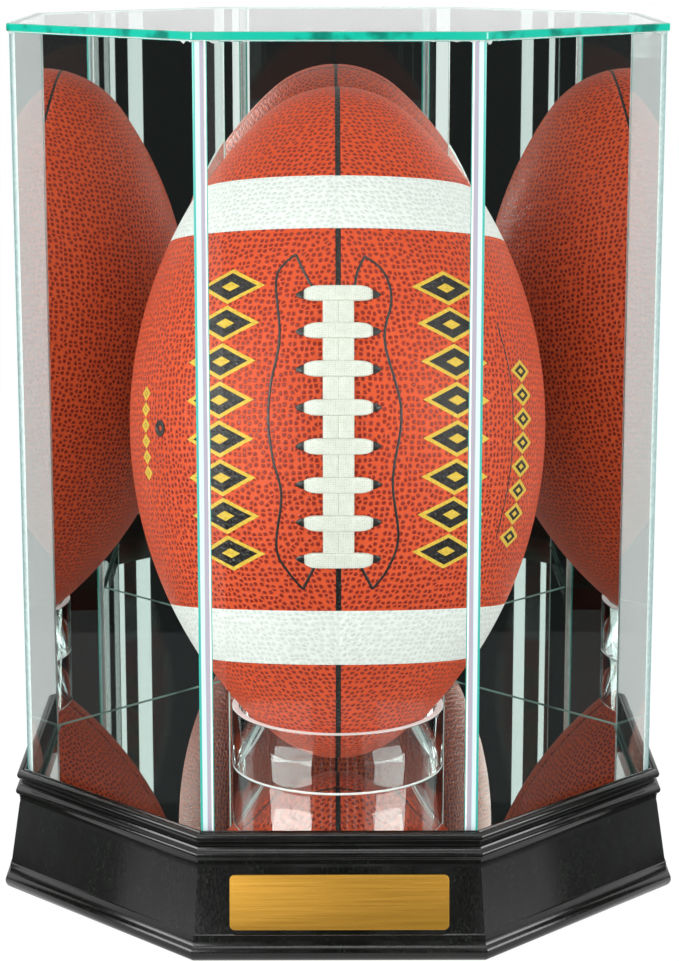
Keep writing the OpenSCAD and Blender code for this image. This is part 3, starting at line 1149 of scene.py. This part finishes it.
def lace_row(settings, index, row):
    """One padded row across the seam, its ends tucked into the eyelets."""
    half = settings.lace_length / 2
    strip = puffed_strip(f"lace_row_{index}", 2 * half, 6.4 * MM, 2.0 * MM, 8, 0.62)

    def place(co):
        tuck = 1.15 * MM * (abs(co.x) / half) ** 5
        angle = co.x / skin_radius(settings, row)
        return skin_point(settings, row + co.z, angle, 1.55 * MM + co.y - tuck)

    bend(strip, place)
    return strip


def lace_strand(settings, side, top, bottom):
    """One of the two runs of lace that follow the seam under the rows."""
    strip = puffed_strip(f"lace_run_{side}", top - bottom, 6.3 * MM, 1.9 * MM, 24, 0.8)

    def place(co):
        along = (top + bottom) / 2 + co.x
        aside = side * 2.95 * MM + co.z
        return skin_point(settings, along, aside / skin_radius(settings, along), 0.75 * MM + co.y)

    bend(strip, place)
    return strip


def eyelet(settings, index, row, side):
    """A black pointed lens on the skin beside the end of a row: painted shade that stands in
    for the hole the lace goes into.
    """
    deselect()
    bpy.ops.mesh.primitive_uv_sphere_add(segments=16, ring_count=10, radius=1, location=(0, 0, 0))
    hole = bpy.context.object
    hole.name = f"eyelet_{index}_{side}"
    half = 3.0 * MM
    hole.scale = (half, 0.45 * MM, 1.75 * MM)
    settle(hole)
    middle = settings.lace_length / 2 + 0.4 * MM

    def place(co):
        narrow = 1 - max(0.0, co.x * side / half) ** 2 * 0.55
        angle = (side * middle + co.x) / skin_radius(settings, row)
        return skin_point(settings, row + co.z * narrow, angle, co.y)

    write_vectors(hole, "weave", [v.co / MM for v in hole.data.vertices])
    bend(hole, place)
    return hole


def smooth_path(points, step):
    """Points of a smooth curve through the given (along, angle) pairs."""
    path = []
    padded = [points[0], *points, points[-1]]
    for before, start, end, after in zip(padded, padded[1:], padded[2:], padded[3:]):
        count = max(2, round(math.dist(start, end) / step))
        for index in range(count):
            t = index / count
            path.append([
                b + (c - a) * t / 2 + (2 * a - 5 * b + 4 * c - d) * t**2 / 2
                + (3 * b - a - 3 * c + d) * t**3 / 2
                for a, b, c, d in zip(before, start, end, after)
            ])
    return [*path, points[-1]]


def skin_line(settings, name, points, radius, sink):
    """A line along the skin through (mm along the meridian, degrees from the front seam)."""
    places = [
        skin_point(settings, along * MM, math.radians(degrees), -sink)
        for along, degrees in smooth_path(points, 1.4)
    ]
    return tube(name, places, radius)


def lace_weave(settings):
    """Off-white vinyl lace with the fine dimples of a woven cover, and painted shade in the low
    creases between them.
    """
    material, tree = new_material("off-white textured vinyl lace")
    weave = add(tree, "ShaderNodeAttribute", {"attribute_name": "weave"}).outputs["Vector"]
    dimples = add(
        tree, "ShaderNodeTexVoronoi", {"feature": "F1"},
        Vector=weave, Scale=1 / 0.85, Randomness=0.25,
    ).outputs["Distance"]
    cloud = add(tree, "ShaderNodeTexNoise", Vector=weave, Scale=0.3, Detail=3.0).outputs[0]
    pale = mix_colour(tree, cloud, linear(settings.lace), linear("#E4E2DA"))
    # Darker colour where the weave lies low between the dimples: painted shade.
    colour = mix_colour(tree, map_range(tree, dimples, 0.45, 0.75), pale, linear("#B5B3A6"))
    raised = math_node(tree, "SUBTRACT", 1.0, dimples)
    normal = add(tree, "ShaderNodeBump", Strength=0.6, Distance=0.18 * MM, Height=raised).outputs[0]
    surface = add(
        tree, "ShaderNodeBsdfPrincipled", Base_Color=colour, Roughness=0.5, Normal=normal,
    ).outputs[0]
    output(tree, surface)
    return material


class CASE_OT_lacing(bpy.types.Operator):
    """Builds the lace, the painted shade of its eyelet holes, the painted outlines beside it
    and the valve
    """

    bl_idname = "display_case.lacing"
    bl_label = "Lacing and valve"

    def execute(self, context):
        settings = context.scene.case_ball
        rows = row_places(settings)
        parts = [lace_row(settings, index, row) for index, row in enumerate(rows)]
        top, bottom = rows[0] + 2.6 * MM, rows[-1] - 3.6 * MM
        parts += [lace_strand(settings, side, top, bottom) for side in (-1, 1)]
        lace = join(parts, "lace_woven")
        settle(lace, BALL_PLACE)
        smooth(lace, 60)
        finish_piece(lace, "football", "lace_cord", lace_weave(settings), "lace")

        # One black serves the painted grooves of the outlines and the eyelets, whose black is painted
        # shade.
        ink = plain("black paint in the grooves", settings.ink, 0.45, grain_mm=1.2)
        eyelet_shades = [
            eyelet(settings, index, row, side)
            for index, row in enumerate(rows) for side in (-1, 1)
        ]
        lines = [
            skin_line(settings, f"line_{index}", points, radius, sink)
            for index, (points, radius, sink) in enumerate(PAINTED_LINES)
        ]
        for parts, name in ((eyelet_shades, "lace_eyelets"), (lines, "painted_outlines")):
            inked = join(parts, name)
            settle(inked, BALL_PLACE)
            smooth(inked, 60)
            finish_piece(inked, "football", "ball_rubber", ink)
        self.valve()
        return {"FINISHED"}

    def valve(self):
        """A rubber disc with a rim and a needle hole."""
        foot, top = BELLY_R - 3.2 * MM, BELLY_R + 0.25 * MM
        deselect()
        bpy.ops.mesh.primitive_cylinder_add(
            vertices=40, radius=VALVE_R, depth=top - foot, location=(0, 0, (foot + top) / 2))
        valve = bpy.context.object
        valve.name = "valve_rubber"
        settle(valve)
        with editing(valve, "FACE"):
            pick("faces", lambda co: co.z > top - 0.1 * MM)
            for inward, up in ((0.7, 0), (0.3, -0.25), (1.3, 0.1), (0.25, -1.5)):
                bpy.ops.mesh.inset(thickness=inward * MM, depth=up * MM)
        ease(valve, 0.12 * MM, 40)
        outward_x = Matrix.Rotation(math.pi / 2, 4, "Y")
        settle(valve, Matrix.Translation((0, 0, VALVE_ALONG)) @ turned(VALVE_TURN) @ outward_x)
        settle(valve, BALL_PLACE)
        smooth(valve, 40)
        rubber = plain("moulded valve rubber", "#1C1715", 0.5, grain_mm=0.8)
        finish_piece(valve, "football", "ball_rubber", rubber, "valve")


class CASE_OT_hidden(bpy.types.Operator):
    """Gives the fasteners under the base their finish"""

    bl_idname = "display_case.hidden"
    bl_label = "Fasteners"

    def execute(self, context):
        steel = plain("zinc-plated steel", "#A8ABAE", 0.35, metallic=1.0, grain_mm=0.7)
        refinish("v_nails", steel)
        refinish("board_nails", steel)
        return {"FINISHED"}


# ---- Stage -------------------------------------------------------------------------


def softbox(name, place, width, height, power):
    """A soft area lamp that looks at the middle of the case."""
    deselect()
    bpy.ops.object.light_add(type="AREA", location=place)
    lamp = bpy.context.object
    lamp.name = name
    lamp.rotation_euler = (LAMP_TARGET - Vector(place)).to_track_quat("-Z", "Y").to_euler()
    lamp.data.shape = "RECTANGLE"
    lamp.data.size = width
    lamp.data.size_y = height
    lamp.data.energy = power


def lit_floor(stage):
    """White studio floor, lit from behind so that it is as bright as the surroundings."""
    material = plain(
        "matte studio floor", stage.floor_colour, 0.7, speckle=0.005, grain_mm=60)
    tree = material.node_tree
    path = add(tree, "ShaderNodeLightPath").outputs
    seen = math_node(tree, "SUBTRACT", 1.0, path["Is Diffuse Ray"])
    glow = add(
        tree, "ShaderNodeEmission", Color=linear("#FFFFFF"), Strength=stage.floor_glow,
    ).outputs[0]
    return overlay(material, math_node(tree, "MULTIPLY", seen, 0.9), glow)


def mirrored_only(material):
    """Clears a material for every ray that no mirror or glass has turned back."""
    tree = material.node_tree
    depth = add(tree, "ShaderNodeLightPath").outputs["Glossy Depth"]
    straight = math_node(tree, "LESS_THAN", depth, 0.5)
    return overlay(material, straight, add(tree, "ShaderNodeBsdfTransparent").outputs[0])


def dark_card(name, place, size, cloth, turn=(0, 0, 0)):
    """A dark card that only reflections see. It lies flat unless it is turned."""
    deselect()
    bpy.ops.mesh.primitive_plane_add(size=1, location=place, rotation=turn)
    card = bpy.context.object
    card.name = name
    card.scale = (*size, 1)
    card.data.materials.append(cloth)
    card.visible_camera = False
    card.visible_diffuse = False
    card.visible_shadow = False


class CASE_OT_stage(bpy.types.Operator):
    """Sets the floor, the surroundings, the lamps and the camera"""

    bl_idname = "display_case.stage"
    bl_label = "Stage"

    def execute(self, context):
        stage = context.scene.case_stage
        scene = context.scene
        deselect()
        bpy.ops.mesh.primitive_plane_add(size=40, location=(0, 0, 0))
        floor = context.object
        floor.name = "floor"
        floor.data.materials.append(lit_floor(stage))

        self.surroundings(scene, stage)
        for lamp in LAMPS:
            softbox(*lamp)
        self.dark_studio()

        bpy.ops.object.camera_add(
            location=(stage.camera_x, -stage.camera_distance, stage.camera_height),
            rotation=(math.pi / 2 - stage.camera_pitch, 0, -stage.camera_yaw),
        )
        camera = context.object
        camera.data.lens = stage.lens
        camera.data.sensor_width = 36
        camera.data.sensor_fit = "AUTO"
        camera.data.clip_start = 0.01
        scene.camera = camera
        scene.view_settings.view_transform = "Standard"
        return {"FINISHED"}

    def surroundings(self, scene, stage):
        """A pale world whose brightness depends on how it is seen."""
        world = bpy.data.worlds.new("studio")
        scene.world = world
        world.use_nodes = True
        tree = world.node_tree
        tree.nodes.clear()
        path = add(tree, "ShaderNodeLightPath").outputs
        through = math_node(tree, "MAXIMUM", path["Is Glossy Ray"], path["Is Transmission Ray"])
        seen = math_node(tree, "MAXIMUM", path["Is Camera Ray"], through)
        mirrored = math_node(tree, "GREATER_THAN", path["Glossy Depth"], 0.5)
        more = stage.world_mirrored - stage.world_seen
        bright = math_node(tree, "MULTIPLY_ADD", mirrored, more, stage.world_seen)
        beyond = math_node(tree, "SUBTRACT", bright, stage.world_light)
        strength = math_node(tree, "MULTIPLY_ADD", seen, beyond, stage.world_light)
        sky = add(tree, "ShaderNodeBackground", Color=linear("#FFFFFF"), Strength=strength)
        add(tree, "ShaderNodeOutputWorld", Surface=sky.outputs[0])

    def dark_studio(self):
        """Dark cloth in front of the case and beside it, with upright gaps that the mirrors show
        as pale bands, and darker floor round the base."""
        cloth = mirrored_only(plain("dark studio cloth", "#08090A", 0.9))
        grey = mirrored_only(plain("grey studio cloth", "#7C7E80", 0.9))
        upright = math.pi / 2
        for index, (left, right) in enumerate(zip(CLOTH_EDGES[::2], CLOTH_EDGES[1::2])):
            middle = ((left + right) / 2, -CLOTH_Y, CLOTH_TOP / 2)
            size = (right - left, CLOTH_TOP)
            dark_card(f"dark_wall_{index}", middle, size, cloth, (upright, 0, 0))
        dark_card("dark_floor_front", (0, -0.195, 3 * MM), (0.36, 0.1), cloth)
        for side in (-1, 1):
            dark_card(f"dark_floor_{side}", (side * 0.18, -0.1, 3 * MM), (0.07, 0.2), cloth)
            middle = (side * 0.5, -0.01, CLOTH_TOP / 2)
            dark_card(f"dark_side_{side}", middle, (0.26, CLOTH_TOP), cloth, (upright, 0, upright))
            dark_card(f"grey_side_{side}", (side * 0.33, -0.06, 2 * MM), (0.34, 0.36), grey)
        near = 0.24
        for index, (left, right) in enumerate(zip(GREY_EDGES[::2], GREY_EDGES[1::2])):
            middle = ((left + right) / 2, -(CLOTH_Y + near) / 2, 2 * MM)
            dark_card(f"grey_floor_{index}", middle, (right - left, CLOTH_Y - near), grey)


# ---- Panel and start ---------------------------------------------------------------

STEPS = (
    CASE_OT_stage,
    CASE_OT_rails,
    CASE_OT_floor,
    CASE_OT_nameplate,
    CASE_OT_ring,
    CASE_OT_panes,
    CASE_OT_mirrors,
    CASE_OT_lid,
    CASE_OT_adhesive,
    CASE_OT_panels,
    CASE_OT_lacing,
    CASE_OT_hidden,
)
SETTINGS = {
    "case_stage": StageSettings,
    "case_glass": CaseSettings,
    "case_wood": WoodSettings,
    "case_ball": BallSettings,
}


class CASE_PT_panel(bpy.types.Panel):
    """Lists the case's building steps"""

    bl_idname = "CASE_PT_panel"
    bl_label = "Football display case"
    bl_space_type = "VIEW_3D"
    bl_region_type = "UI"
    bl_category = "Display case"

    def draw(self, context):
        for step in STEPS:
            self.layout.operator(step.bl_idname)


def register():
    for cls in (*SETTINGS.values(), *STEPS, CASE_PT_panel):
        bpy.utils.register_class(cls)
    for name, cls in SETTINGS.items():
        setattr(bpy.types.Scene, name, PointerProperty(type=cls))


def unregister():
    for name in SETTINGS:
        delattr(bpy.types.Scene, name)
    for cls in reversed((*SETTINGS.values(), *STEPS, CASE_PT_panel)):
        bpy.utils.unregister_class(cls)


def main():
    register()
    for step in STEPS:
        group, name = step.bl_idname.split(".")
        getattr(getattr(bpy.ops, group), name)()


if __name__ == "__main__":
    main()
